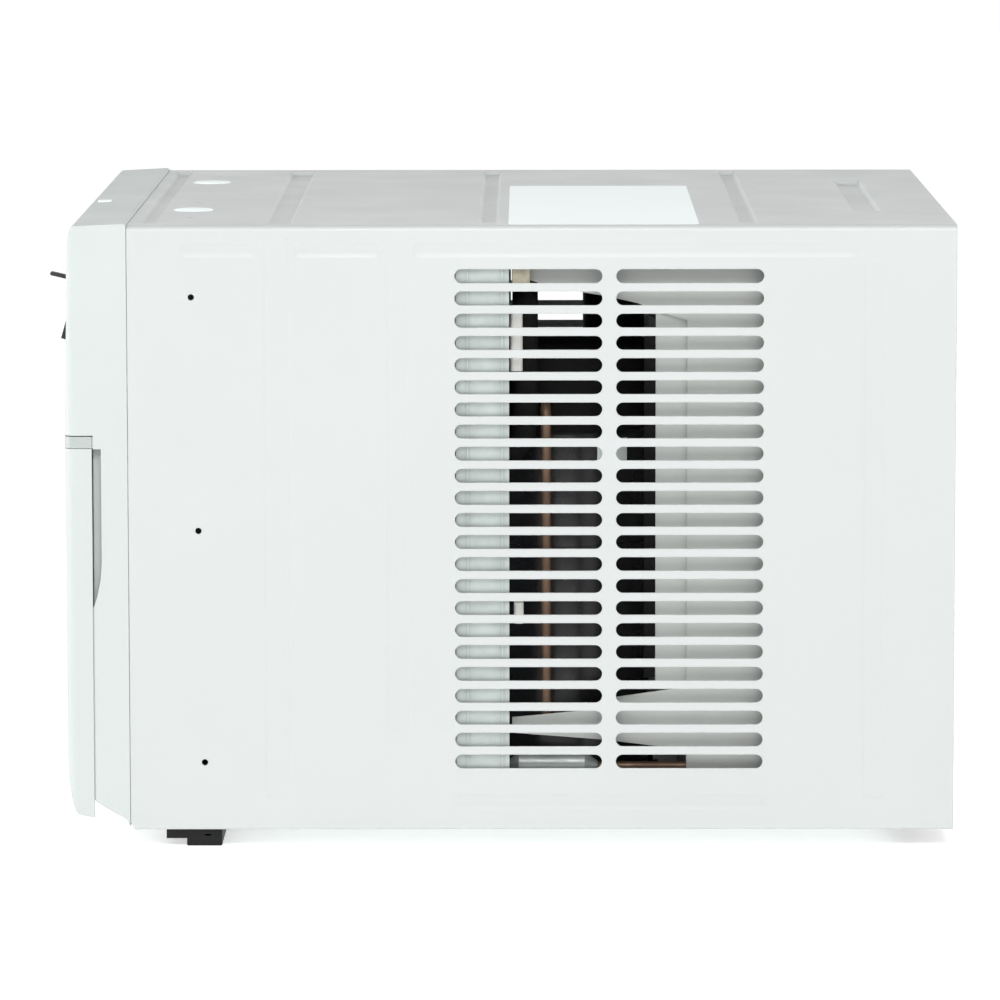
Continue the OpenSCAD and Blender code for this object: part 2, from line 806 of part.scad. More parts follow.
// One louver blade, from the centre post to the side of the outlet
module louver(side, pivot_z, tilt) {
    x0 = post_half + 0.6;
    x1 = outlet_x - 0.6;
    tab_w = 5;
    blade_t = 2;
    inner = 15;
    mirror([side < 0 ? 1 : 0, 0, 0])
        translate([0, at(blade_pivot_d), pivot_z]) rotate([tilt, 0, 0]) {
            translate([x0, 0, 0]) rotate([90, 0, 90]) linear_extrude(x1 - x0) {
                translate([inner / 2 - 0.4, 0]) slot(inner + 0.8, blade_t);
                circle(2);
            }
            translate([x0 - 2.2, 0, 0]) rotate([0, 90, 0])
                cylinder(h = x1 - x0 + 4.4, r = blade_pin_r);
            translate([x1 - 7 - tab_w, 0, 0]) rotate([90, 0, 90]) linear_extrude(tab_w)
                louver_tab(pivot_z);
        }
}

module louver_upper_left() color("#2a2c2e") louver(-1, upper_pivot_z, -upper_tilt);
module louver_upper_right() color("#2a2c2e") louver(1, upper_pivot_z, -upper_tilt);
module louver_lower_left() color("#2a2c2e") louver(-1, lower_pivot_z, lower_tilt);
module louver_lower_right() color("#2a2c2e") louver(1, lower_pivot_z, lower_tilt);

// Vertical vane number i, counted outwards from the centre post
module vane(side, i) color("#2f3234") {
    half_t = 0.8;
    edge_gap = 2.4;
    lug_z = 316;
    x = side * vane_x(i);
    block(x - half_t, x + half_t, vane_pivot_d - 13, vane_pivot_d + 4,
          outlet_z0 + edge_gap, outlet_z1 - edge_gap);
    block(x - half_t, x + half_t, vane_pivot_d + 3, vane_pivot_d + 13,
          lug_z, outlet_z1 - edge_gap);
    rod_z(x, vane_pivot_d, outlet_z0 + 0.4, outlet_z1 - 0.4, 2.2);
    rod_z(x, vane_pivot_d, outlet_z0 - 1.9, outlet_z1 + 1.9, vane_pin_r);
    rod_z(x, vane_pivot_d + link_arm, lug_z - 4.5, lug_z + 6, link_pin_r);
}

module vane_left_1() vane(-1, 0);
module vane_left_2() vane(-1, 1);
module vane_left_3() vane(-1, 2);
module vane_left_4() vane(-1, 3);
module vane_right_1() vane(1, 0);
module vane_right_2() vane(1, 1);
module vane_right_3() vane(1, 2);
module vane_right_4() vane(1, 3);

// Bar that carries all the vane pins of one side
module link(side) color("#505458") {
    end_room = 6;
    length = vane_x(vanes_per_side - 1) - vane_x(0) + 2 * end_room;
    middle = side * (vane_x(0) + vane_x(vanes_per_side - 1)) / 2;
    up_from(312.3, 314.3)
        difference() {
            translate([middle, vane_pivot_d + link_arm]) slot(length, 5.6);
            for (i = [0:vanes_per_side - 1])
                translate([side * vane_x(i), vane_pivot_d + link_arm])
                    circle(link_pin_r + pin_gap);
        }
}

module link_left() link(-1);
module link_right() link(1);

// ---------------------------------------------------------------- controls

module control_fascia() color("#e9ebec") {
    difference() {
        union() {
            block(-fascia_x, fascia_x, -37.9, -34.2, fascia_z0, fascia_z1);
            block(-104, 104, -34.7, -33.6, 258, 302);
        }
        block(-26, 26, -50, -30, 271, 289);
        for (x = button_xs)
            back_from(-50, -30) translate([x, button_z])
                rounded_rect(button_w + 0.4, button_h + 0.4, 2);
    }
}

module display_window() color("#101418") block(-25.8, 25.8, -37.6, -35, 271.2, 288.8);

module button(i) color("#d9dcde")
    translate([button_xs[i], 0, button_z]) {
        back_from(-39.3, -32.6) rounded_rect(button_w, button_h, 1.8);
        back_from(-33.3, -32.3) rounded_rect(button_w + 3, button_h + 3, 2.4);
    }

module button_power() button(0);
module button_mode() button(1);
module button_fan() button(2);
module button_timer() button(3);
module button_temp_down() button(4);
module button_temp_up() button(5);

module control_board() color("#1f5a38") {
    block(-96, 96, -29, -27.4, 262, 298);
    block(-24, 24, -34.6, -28.9, 273, 287);
    for (x = button_xs) block(x - 3, x + 3, -30.4, -28.9, button_z - 3, button_z + 3);
    block(-80, -50, -27.5, -10, 268, 292);
    for (x = [30, 48, 66]) rod_y(x, button_z, -27.5, -8, 7);
}

module control_box() color("#c4c8ca")
    difference() {
        block(-107, 107, -33.2, 4, 256.5, 302.8);
        block(-106, 106, -34, 3, 257.5, 301.8);
    }

// ---------------------------------------------------------------- intake grille

grille_columns = 4;
grille_rows = 20;
grille_slot_l = 96;
grille_slot_step = 107;
grille_slot_pitch = 9.4;

// Side outline of the grille; the inner one is open at the back
module grille_side(inset) {
    back = inset > 0 ? grille_back + 1 : grille_back;
    rx = bezel_depth + low_centre[0] - inset;
    ry = low_centre[1] - grille_bottom - inset;
    polygon(concat([[back, grille_heel + inset]],
        [for (p = quarter(rx, ry, 8)) low_centre - p],
        [[inset - bezel_depth, grille_top - inset], [back, grille_top - inset]]));
}

module grille_slots()
    for (row = [0:grille_rows - 1], column = [0:grille_columns - 1])
        translate([(column - (grille_columns - 1) / 2) * grille_slot_step,
                   228 - row * grille_slot_pitch])
            slot(grille_slot_l, 5);

module grille_lug() {
    lug_x = ear_x + ear_t + 1;
    rod_x(hinge_d, hinge_z, lug_x, lug_x + 3, 4);
    across(lug_x, lug_x + 3)
        polygon([[hinge_d, hinge_z - 4], [hinge_d, hinge_z + 4], [-36.2, hinge_z + 8],
                 [-33, hinge_z - 5]]);
    rod_x(hinge_d, hinge_z, ear_x - 1, lug_x + 1, hinge_pin_r);
}

module intake_grille() color("white") {
    difference() {
        intersection() {
            across(-half_w, half_w) grille_side(0);
            up_from(0, 300) front_plan(0);
        }
        intersection() {
            across(wall - half_w, half_w - wall) grille_side(wall);
            up_from(0, 300) front_plan(wall);
        }
        back_from(-50, -30) grille_slots();
        // the filter slides out through the top
        block(-226, 226, -34.7, -29.3, 200, 260);
        // the bottom wall ends short of the back
        block(-238.5, 238.5, -26.5, -20, 10, 24);
        // room for the hinge ears
        both_sides() block(ear_x - 2, ear_x + ear_t + 0.5, -29, -20, 10, 23.5);
    }
    both_sides() {
        grille_lug();
        // filter guides and the ledge that the filter stands on
        for (d = [-34.9, -30.1]) block(217, 239, d, d + 1, 36, 241.6);
        block(217, 239, -34.9, -29.1, 34.5, 37.7);
    }
}

module trim_strip() color("#b4b8bb")
    up_from(strip_z0, strip_z1)
        difference() {
            intersection() {
                front_plan(0);
                translate([-half_w, -60]) square([cabinet_w, 60 + grille_back]);
            }
            front_plan(3);
        }

// ---------------------------------------------------------------- filter

filter_x = 222;
filter_z0 = 38;
filter_z1 = 238.5;
filter_bar = 9;
filter_cross = 4;

module filter_panels(grow) {
    panel_w = (2 * (filter_x - filter_bar) - 2 * filter_cross) / 3;
    for (i = [-1, 0, 1])
        translate([i * (panel_w + filter_cross), (filter_z0 + filter_z1) / 2])
            square([panel_w + 2 * grow, filter_z1 - filter_z0 - 2 * filter_bar + 2 * grow],
                   center = true);
}

module filter_frame() color("#3f5f7a")
    back_from(-33.5, -30.5)
        difference() {
            translate([0, (filter_z0 + filter_z1) / 2])
                rounded_rect(2 * filter_x, filter_z1 - filter_z0, 4);
            filter_panels(0);
        }

module filter_mesh() color("#7c8c98")
    back_from(-32.3, -31.7) filter_panels(-0.1);

// ---------------------------------------------------------------- output

cabinet_shell();
rear_panel();
base_pan();
sill_rail();
bulkhead();
fan_shroud();
condenser_fins();
condenser_tubes();
condenser_end_plates();
evaporator_fins();
evaporator_tubes();
evaporator_end_plates();
drain_tray();
blower_housing();
fan_motor();
motor_bracket();
compressor();
compressor_cap();
compressor_grommets();
accumulator();
suction_line();
discharge_line();
capillary_tube();
filter_drier();
run_capacitor();
control_box();
control_board();
front_bezel();
outlet_frame();
control_fascia();
display_window();
cord_grommet();
rear_screws();
motor_shaft();
blower_wheel();
condenser_fan();
louver_upper_left();
louver_upper_right();
louver_lower_left();
louver_lower_right();
vane_left_1();
vane_left_2();
vane_left_3();
vane_left_4();
vane_right_1();
vane_right_2();
vane_right_3();
vane_right_4();
link_left();
link_right();
intake_grille();
trim_strip();
filter_frame();
filter_mesh();
button_power();
button_mode();
button_fan();
button_timer();
button_temp_down();
button_temp_up();
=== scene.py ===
import json
import math

import bmesh
import bpy
from mathutils import Matrix, Vector


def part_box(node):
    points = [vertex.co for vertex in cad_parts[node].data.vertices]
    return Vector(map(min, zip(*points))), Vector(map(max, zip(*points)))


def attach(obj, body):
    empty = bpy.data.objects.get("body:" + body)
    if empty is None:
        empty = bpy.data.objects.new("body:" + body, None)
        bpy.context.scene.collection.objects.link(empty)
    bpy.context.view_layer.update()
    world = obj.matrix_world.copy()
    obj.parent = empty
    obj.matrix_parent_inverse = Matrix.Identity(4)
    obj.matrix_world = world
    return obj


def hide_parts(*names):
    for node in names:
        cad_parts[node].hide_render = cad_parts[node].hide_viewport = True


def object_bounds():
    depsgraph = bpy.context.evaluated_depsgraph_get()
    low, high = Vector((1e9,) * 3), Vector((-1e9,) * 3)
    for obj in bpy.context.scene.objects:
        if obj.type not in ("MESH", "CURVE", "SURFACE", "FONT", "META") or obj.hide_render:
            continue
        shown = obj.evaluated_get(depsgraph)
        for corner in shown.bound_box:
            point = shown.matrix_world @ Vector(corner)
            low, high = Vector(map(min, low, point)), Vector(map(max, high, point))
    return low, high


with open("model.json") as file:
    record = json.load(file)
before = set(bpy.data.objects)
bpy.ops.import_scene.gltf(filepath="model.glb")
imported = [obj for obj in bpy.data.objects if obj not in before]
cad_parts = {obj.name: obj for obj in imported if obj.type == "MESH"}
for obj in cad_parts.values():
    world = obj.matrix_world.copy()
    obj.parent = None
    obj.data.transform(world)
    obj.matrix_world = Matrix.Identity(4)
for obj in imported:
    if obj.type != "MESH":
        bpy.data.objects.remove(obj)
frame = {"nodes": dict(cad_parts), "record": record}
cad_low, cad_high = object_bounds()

# Looks of the window air conditioner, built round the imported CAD: +Z is up, the front faces -Y
# and the photo looks from +X. Outlines, profiles, routes and levels are drawn in millimetres,
# while places read from the frame, fin spacings and softened edges are in metres.
MM = 0.001
NODES = frame["nodes"]

# ------------------------------------------------------------------ places, from the frame

shell_low, shell_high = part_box("cabinet_shell")
top_z = shell_high.z
floor_z = cad_low.z


def depth(d):
    """Y of a point d millimetres behind the joint between the bezel and the cabinet."""
    return shell_low.y + d * MM


def middle(node):
    """Middle of a CAD node's box."""
    low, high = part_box(node)
    return (low + high) / 2


# ------------------------------------------------------------------ camera and stage

def make_camera():
    """Long lens far out along +X, looking slightly down on the cabinet's side."""
    out, behind_joint, height = 4.042, 241, 0.678
    data = bpy.data.cameras.new("camera")
    data.sensor_width = 36
    data.lens = 228.1
    data.clip_end = 100
    camera = bpy.data.objects.new("camera", data)
    bpy.context.scene.collection.objects.link(camera)
    pitch, yaw, roll = math.radians(-6.98), math.radians(0.245), math.radians(-0.07)
    forward = Vector((-math.cos(yaw) * math.cos(pitch), -math.sin(yaw) * math.cos(pitch),
                      math.sin(pitch)))
    camera.location = (out, depth(behind_joint), height)
    turn = forward.to_track_quat("-Z", "Y").to_matrix().to_4x4()
    camera.matrix_world = (Matrix.Translation(camera.location) @ turn
                           @ Matrix.Rotation(roll, 4, "Z"))
    bpy.context.scene.camera = camera


def area_light(name, place, size, power):
    """Square lamp of that side in metres and power in watts, turned to the cabinet."""
    cabinet = Vector((0, 0, 0.18))
    data = bpy.data.lights.new(name, "AREA")
    data.size = size
    data.energy = power
    light = bpy.data.objects.new(name, data)
    bpy.context.scene.collection.objects.link(light)
    aim = cabinet - Vector(place)
    light.matrix_world = (Matrix.Translation(place)
                          @ aim.to_track_quat("-Z", "Y").to_matrix().to_4x4())


def make_stage():
    """Pale floor under a soft sky that is a little darker overhead than round the horizon."""
    mesh = bpy.data.meshes.new("floor")
    reach = 40
    corners = [(-reach, -reach), (reach, -reach), (reach, reach), (-reach, reach)]
    mesh.from_pydata([(x, y, floor_z) for x, y in corners], [], [(0, 1, 2, 3)])
    floor = bpy.data.objects.new("floor", mesh)
    bpy.context.scene.collection.objects.link(floor)
    mat = bpy.data.materials.new("floor_paint")
    mat.use_nodes = True
    shader = mat.node_tree.nodes["Principled BSDF"]
    shader.inputs["Base Color"].default_value = (0.9, 0.9, 0.9, 1)
    shader.inputs["Roughness"].default_value = 0.9
    shader.inputs["Specular IOR Level"].default_value = 0.1
    shader.inputs["Emission Color"].default_value = (1, 1, 1, 1)
    shader.inputs["Emission Strength"].default_value = 0.55
    mesh.materials.append(mat)

    world = bpy.data.worlds.new("studio")
    world.use_nodes = True
    bpy.context.scene.world = world
    tree = world.node_tree
    place = tree.nodes.new("ShaderNodeTexCoord")
    split = tree.nodes.new("ShaderNodeSeparateXYZ")
    tree.links.new(place.outputs["Generated"], split.inputs[0])
    fade = tree.nodes.new("ShaderNodeMapRange")
    fade.inputs["From Min"].default_value = 0.0
    fade.inputs["From Max"].default_value = 0.8
    fade.inputs["To Min"].default_value = 1.2
    fade.inputs["To Max"].default_value = 0.3
    tree.links.new(split.outputs["Z"], fade.inputs["Value"])
    tree.links.new(fade.outputs["Result"], tree.nodes["Background"].inputs["Strength"])
    tree.nodes["Background"].inputs["Color"].default_value = (1, 1, 1, 1)

    area_light("side_softbox", (2.6, 0.1, 2.4), size=1.4, power=58)
    area_light("front_softbox", (0.2, -3.0, 1.0), size=1.6, power=38)
    area_light("rear_softbox", (0.2, 3.0, 1.0), size=1.6, power=20)
    bpy.context.scene.view_settings.view_transform = "Standard"


# ------------------------------------------------------------------ materials

def add(tree, kind, inputs=None, **settings):
    """A shader node with its settings, and its inputs set to values or linked to sockets."""
    made = tree.nodes.new("ShaderNode" + kind)
    for key, value in settings.items():
        setattr(made, key, value)
    for key, value in (inputs or {}).items():
        if isinstance(value, bpy.types.NodeSocket):
            tree.links.new(value, made.inputs[key])
        else:
            made.inputs[key].default_value = value
    return made


def noise(tree, place, scale, detail=2.0):
    """Socket of a noise pattern, its scale per metre."""
    return add(tree, "TexNoise", {"Vector": place, "Scale": scale, "Detail": detail}).outputs[0]


def spread(tree, value, low, high, from_low=0.3, from_high=0.7):
    """Maps a value from one range to another, by default from the usual range of a noise."""
    return add(tree, "MapRange", {"Value": value, "From Min": from_low, "From Max": from_high,
                                  "To Min": low, "To Max": high}).outputs[0]


def blend_colors(tree, factor, a, b):
    """Mix of two colours, each of the three a value or a socket."""
    mix = tree.nodes.new("ShaderNodeMix")
    mix.data_type = "RGBA"
    for socket, value in ((mix.inputs[0], factor), (mix.inputs[6], a), (mix.inputs[7], b)):
        if isinstance(value, bpy.types.NodeSocket):
            tree.links.new(value, socket)
        else:
            socket.default_value = value
    return mix.outputs[2]


def shade(color, factor):
    """The colour made brighter or darker, with its alpha."""
    return tuple(min(1.0, c * factor) for c in color[:3]) + (1.0,)


def surface(name, color, roughness, metallic=0.0, specular=0.5, coat=0.0, sheen=0.0,
            cloud=(12, 0.03), gloss_change=0.05, grain=(900, 0.00004), waves=None, edge=None,
            corner_shade=None):
    """Finish with random variation, painted highlights and painted shade. cloud is the scale and
    share of colour change, grain and waves are the scale and height of a fine and a broad bump,
    edge is the width and brightness of lighter edges, partly paint wear and partly a painted
    highlight, corner_shade is the reach and darkness of painted shade in corners and recesses.
    Scales are per metre."""
    mat = bpy.data.materials.new(name)
    mat.use_nodes = True
    tree = mat.node_tree
    shader = tree.nodes["Principled BSDF"]
    shader.inputs["Metallic"].default_value = metallic
    shader.inputs["Specular IOR Level"].default_value = specular
    shader.inputs["Coat Weight"].default_value = coat
    shader.inputs["Coat Roughness"].default_value = 0.12
    shader.inputs["Sheen Weight"].default_value = sheen
    place = tree.nodes.new("ShaderNodeTexCoord").outputs["Object"]

    broad = noise(tree, place, cloud[0], detail=3.0)
    painted = blend_colors(tree, spread(tree, broad, 0, 1),
                           shade(color, 1 - cloud[1]), shade(color, 1 + cloud[1]))
    fine = noise(tree, place, grain[0])
    normal = None
    # Lighter colour along edges: partly paint wear, partly a painted highlight on rims and bends.
    if edge:
        width, brightness = edge
        rounded = add(tree, "Bevel", {"Radius": width}, samples=3)
        flat = tree.nodes.new("ShaderNodeNewGeometry")
        facing = add(tree, "VectorMath", {0: rounded.outputs[0], 1: flat.outputs["Normal"]},
                     operation="DOT_PRODUCT").outputs["Value"]
        wear_and_highlight = spread(tree, facing, 1.0, 0.0, from_low=0.8, from_high=0.99)
        edge_patches = noise(tree, place, scale=160, detail=3.0)
        patchy = spread(tree, edge_patches, 0.25, 1.0, from_low=0.4, from_high=0.6)
        wear_and_highlight = add(tree, "Math", {0: wear_and_highlight, 1: patchy}, operation="MULTIPLY").outputs[0]
        painted = blend_colors(tree, wear_and_highlight, painted, shade(color, brightness))
        normal = rounded.outputs[0]
    # Painted shade: the colour darkens where ambient occlusion finds corners, creases and recesses.
    if corner_shade:
        reach, darkness = corner_shade
        open_air = add(tree, "AmbientOcclusion", {"Distance": reach}, samples=4).outputs["AO"]
        shaded_share = spread(tree, open_air, darkness, 0.0, from_low=0.25, from_high=0.85)
        painted = blend_colors(tree, shaded_share, painted, shade(color, 0.45))
    tree.links.new(painted, shader.inputs["Base Color"])
    patches = noise(tree, place, cloud[0] * 2.3, detail=4.0)
    gloss = spread(tree, patches, max(0.03, roughness - gloss_change),
                   min(1, roughness + gloss_change))
    tree.links.new(gloss, shader.inputs["Roughness"])
    bumps = [(grain[1], fine)]
    if waves:
        bumps.append((waves[1], noise(tree, place, waves[0], detail=1.0)))
    for height, pattern in bumps:
        if not height:
            continue
        inputs = {"Height": pattern, "Distance": height, "Strength": 1.0}
        if normal:
            inputs["Normal"] = normal
        normal = add(tree, "Bump", inputs).outputs[0]
    if normal:
        tree.links.new(normal, shader.inputs["Normal"])
    return mat


COATING = (0.52, 0.543, 0.539)
PLASTIC_WHITE = (0.513, 0.552, 0.538)

# Lighter edges on these finishes are partly paint wear and partly a painted highlight; darker
# corners are painted shade.
MATERIALS = {
    # The cabinet's lighter edges are a painted highlight along the top bend and the rims of the top
    # troughs.
    "cabinet_paint": surface("cabinet_paint", COATING, 0.38, cloud=(7, 0.012), grain=(700, 0.00003),
                             waves=(9, 0.0009), edge=(0.0012, 1.35), corner_shade=(0.002, 0.12)),
    "galvanised_sheet": surface("galvanised_sheet", (0.46, 0.51, 0.49), 0.5, metallic=0.35,
                                cloud=(70, 0.10), gloss_change=0.12, corner_shade=(0.01, 0.4)),
    "rail_black": surface("rail_black", (0.006, 0.0065, 0.0062), 0.5, specular=0.25,
                          cloud=(20, 0.2), edge=(0.0006, 3.0)),
    "shroud_plastic": surface("shroud_plastic", (0.49, 0.51, 0.49), 0.6, cloud=(25, 0.05),
                              grain=(500, 0.0001), corner_shade=(0.02, 0.5)),
    "fin_aluminium": surface("fin_aluminium", (0.80, 0.82, 0.84), 0.42, metallic=0.6,
                             cloud=(40, 0.12), gloss_change=0.12),
    # Copper darkened partly as oxide and partly as painted shade for the dim inside of the cabinet.
    "copper": surface("copper", (0.17, 0.11, 0.075), 0.5, metallic=0.7, cloud=(60, 0.22),
                      gloss_change=0.12),
    "housing_plastic": surface("housing_plastic", (0.72, 0.72, 0.69), 0.75, cloud=(30, 0.04),
                               grain=(260, 0.0003)),
    "motor_steel": surface("motor_steel", (0.10, 0.105, 0.11), 0.45, metallic=0.6,
                           cloud=(30, 0.2), edge=(0.0006, 1.8)),
    "compressor_black": surface("compressor_black", (0.012, 0.012, 0.014), 0.3, cloud=(30, 0.3),
                                waves=(60, 0.0004)),
    "rubber_black": surface("rubber_black", (0.014, 0.014, 0.014), 0.75, specular=0.3,
                            cloud=(80, 0.25), grain=(600, 0.0001)),
    "line_insulation": surface("line_insulation", (0.008, 0.0085, 0.008), 0.9, specular=0.12,
                               cloud=(60, 0.08), grain=(420, 0.0005)),
    "drier_steel": surface("drier_steel", (0.36, 0.39, 0.38), 0.4, metallic=0.5,
                           cloud=(60, 0.15)),
    "board_green": surface("board_green", (0.02, 0.12, 0.05), 0.35, cloud=(200, 0.3)),
    "bezel_plastic": surface("bezel_plastic", PLASTIC_WHITE, 0.42, cloud=(9, 0.012),
                             grain=(1400, 0.00004), edge=(0.0007, 1.05), corner_shade=(0.002, 0.12)),
    "outlet_plastic": surface("outlet_plastic", (0.06, 0.064, 0.068), 0.5, cloud=(30, 0.15),
                              edge=(0.0004, 1.8)),
    "louver_plastic": surface("louver_plastic", (0.02, 0.021, 0.023), 0.42, cloud=(40, 0.2),
                              edge=(0.0004, 2.4)),
    "fascia_plastic": surface("fascia_plastic", (0.56, 0.575, 0.58), 0.35, cloud=(15, 0.02),
                              edge=(0.0005, 1.08)),
    "display_dark": surface("display_dark", (0.006, 0.008, 0.010), 0.12, specular=0.3, coat=0.25,
                            cloud=(20, 0.2), gloss_change=0.02, grain=(900, 0.0)),
    "button_plastic": surface("button_plastic", (0.52, 0.53, 0.55), 0.45, cloud=(60, 0.04),
                              edge=(0.0006, 1.15)),
    "screw_steel": surface("screw_steel", (0.60, 0.60, 0.60), 0.32, metallic=1.0,
                           cloud=(300, 0.12), gloss_change=0.1, edge=(0.0003, 1.4)),
    "fan_plastic": surface("fan_plastic", (0.03, 0.032, 0.036), 0.5, cloud=(40, 0.2),
                           edge=(0.0005, 2.0)),
    "trim_silver": surface("trim_silver", (0.42, 0.46, 0.45), 0.36, metallic=0.3,
                           cloud=(30, 0.03), edge=(0.0005, 1.2)),
    "filter_plastic": surface("filter_plastic", (0.06, 0.12, 0.19), 0.5, cloud=(40, 0.1),
                              edge=(0.0004, 1.5)),
    "filter_net": surface("filter_net", (0.14, 0.19, 0.24), 0.8, sheen=0.3, cloud=(80, 0.15)),
}
LABEL = surface("label_paper", (0.92, 1.0, 0.985), 0.5, cloud=(30, 0.01), grain=(1500, 0.00002))
FOAM = surface("seal_foam", (0.42, 0.38, 0.30), 0.95, specular=0.2, cloud=(200, 0.15),
               grain=(500, 0.0004))
GLYPH = surface("printed_ink", (0.10, 0.11, 0.12), 0.5, cloud=(200, 0.1))
SEGMENT = surface("unlit_segment", (0.035, 0.04, 0.045), 0.25, cloud=(100, 0.1))


def dress_cad_nodes():
    """Gives every CAD node the finish that its record row names."""
    for part in frame["record"]["subparts"]:
        mesh = NODES[part["node"]].data
        mesh.materials.clear()
        mesh.materials.append(MATERIALS[part["material_slot"]])


# ------------------------------------------------------------------ making pieces

def mesh_piece(name, bm, material, body, smooth=True):
    """Turns bm into an object that rides on a body, in the given material."""
    bmesh.ops.recalc_face_normals(bm, faces=bm.faces)
    mesh = bpy.data.meshes.new(name)
    bm.to_mesh(mesh)
    bm.free()
    if smooth:
        mesh.shade_smooth()
        mesh.set_sharp_from_angle(angle=math.radians(35))
    mesh.materials.append(material)
    piece = bpy.data.objects.new(name, mesh)
    bpy.context.scene.collection.objects.link(piece)
    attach(piece, body)
    return piece


def prism(bm, outline, place, w0, w1):
    """Solid with a flat outline of (u, v) points between two levels w0 and w1."""
    low = [bm.verts.new(place(u, v, w0)) for u, v in outline]
    high = [bm.verts.new(place(u, v, w1)) for u, v in outline]
    bm.faces.new(low)
    bm.faces.new(high[::-1])
    for i in range(len(outline)):
        j = (i + 1) % len(outline)
        bm.faces.new((low[j], low[i], high[i], high[j]))


def plates(name, outlines, place, w0, w1, material, body, soften=0.0):
    """One piece of several flat plates, with edges softened by that many metres."""
    bm = bmesh.new()
    for outline in outlines:
        prism(bm, outline, place, w0, w1)
    piece = mesh_piece(name, bm, material, body, smooth=False)
    if soften:
        rim = piece.modifiers.new("soft_edge", "BEVEL")
        rim.width = soften
        rim.segments = 2
        rim.limit_method = "ANGLE"
    return piece


def on_top(x, d, z):
    """Point x across, d behind the joint and z up, all in millimetres."""
    return Vector((x * MM, depth(d), z * MM))


def on_front(x, z, d):
    """The same point for outlines that are drawn from the front."""
    return on_top(x, d, z)


def rectangle(x0, x1, y0, y1, corner=0.0, steps=5):
    """Outline with round corners."""
    if not corner:
        return [(x0, y0), (x1, y0), (x1, y1), (x0, y1)]
    points = []
    centres = [(x1 - corner, y1 - corner, 0), (x0 + corner, y1 - corner, 90),
               (x0 + corner, y0 + corner, 180), (x1 - corner, y0 + corner, 270)]
    for cx, cy, start in centres:
        for i in range(steps + 1):
            a = math.radians(start + 90 * i / steps)
            points.append((cx + corner * math.cos(a), cy + corner * math.sin(a)))
    return points


def arc_band(cx, cy, r0, r1, start, end, steps=24):
    """Outline of a band between two radii, from one angle to another in degrees."""
    turn = [math.radians(start + (end - start) * i / steps) for i in range(steps + 1)]
    return ([(cx + r1 * math.cos(a), cy + r1 * math.sin(a)) for a in turn]
            + [(cx + r0 * math.cos(a), cy + r0 * math.sin(a)) for a in reversed(turn)])


def disc(cx, cy, r, steps=24):
    """Round outline."""
    turn = [2 * math.pi * i / steps for i in range(steps)]
    return [(cx + r * math.cos(a), cy + r * math.sin(a)) for a in turn]


def lathe(bm, profile, place, turns=32):
    """Surface of revolution: profile is (radius, height) points, place puts (u, v, w)."""
    rings = []
    for radius, height in profile:
        if radius < 1e-6:
            rings.append([bm.verts.new(place(0, 0, height))])
            continue
        rings.append([bm.verts.new(place(radius * math.cos(2 * math.pi * i / turns),
                                         radius * math.sin(2 * math.pi * i / turns), height))
                      for i in range(turns)])
    for a, b in zip(rings, rings[1:]):
        for i in range(turns):
            j = (i + 1) % turns
            if len(a) == 1 and len(b) == 1:
                continue
            if len(a) == 1:
                bm.faces.new((a[0], b[i], b[j]))
            elif len(b) == 1:
                bm.faces.new((a[j], a[i], b[0]))
            else:
                bm.faces.new((a[j], a[i], b[i], b[j]))


def eased(points, bend, steps=6):
    """The path with each corner eased into a curve that starts bend before it."""
    path = [Vector(points[0])]
    for before, corner, after in zip(points, points[1:], points[2:]):
        before, corner, after = Vector(before), Vector(corner), Vector(after)
        a = corner + (before - corner).normalized() * bend
        b = corner + (after - corner).normalized() * bend
        for i in range(steps + 1):
            t = i / steps
            path.append((1 - t) ** 2 * a + 2 * t * (1 - t) * corner + t ** 2 * b)
    path.append(Vector(points[-1]))
    return path


def tube(name, routes, radii, bend, slot, *replaced):
    """Smooth tubes along routes of (x, depth, z) points, as one curve on the chassis."""
    curve = bpy.data.curves.new(name, "CURVE")
    curve.dimensions = "3D"
    curve.bevel_depth = MM
    curve.bevel_resolution = 5
    curve.use_fill_caps = True
    for route, radius in zip(routes, radii):
        path = eased(route, bend)
        spline = curve.splines.new("POLY")
        spline.points.add(len(path) - 1)
        for point, p in zip(spline.points, path):
            point.co = (*on_top(*p), 1)
            point.radius = radius
    curve.materials.append(MATERIALS[slot])
    piece = bpy.data.objects.new(name, curve)
    bpy.context.scene.collection.objects.link(piece)
    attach(piece, "chassis")
    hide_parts(*replaced)


# ------------------------------------------------------------------ coils

def coil_fins(name, node, pitch, ripple):
    """Thin rippled fins, as close together as on a real coil, that stand for the CAD's pack."""
    low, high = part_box(node)
    count = int((high.x - low.x) / pitch)
    columns = 6
    thick = 0.00022
    bm = bmesh.new()
    for k in range(count + 1):
        x = low.x + (high.x - low.x - thick) * k / count
        strips = []
        for i in range(columns + 1):
            y = low.y + (high.y - low.y) * i / columns
            shift = ripple * (1 if i % 2 else -1)
            section = ((0, low.z), (thick, low.z), (thick, high.z), (0, high.z))
            strips.append([bm.verts.new((x + shift + side, y, z)) for side, z in section])
        for a, b in zip(strips, strips[1:]):
            for i in range(4):
                j = (i + 1) % 4
                bm.faces.new((a[i], a[j], b[j], b[i]))
        bm.faces.new(strips[0][::-1])
        bm.faces.new(strips[-1])
    piece = mesh_piece(name, bm, MATERIALS["fin_aluminium"], "chassis", False)
    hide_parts(node)


def make_coils():
    """Fin packs of both coils."""
    pitch, ripple = 0.0021, 0.0003
    coil_fins("condenser_fin_pack", "condenser_fins", pitch, ripple)
    coil_fins("evaporator_fin_pack", "evaporator_fins", pitch, ripple)


# ------------------------------------------------------------------ refrigerant lines

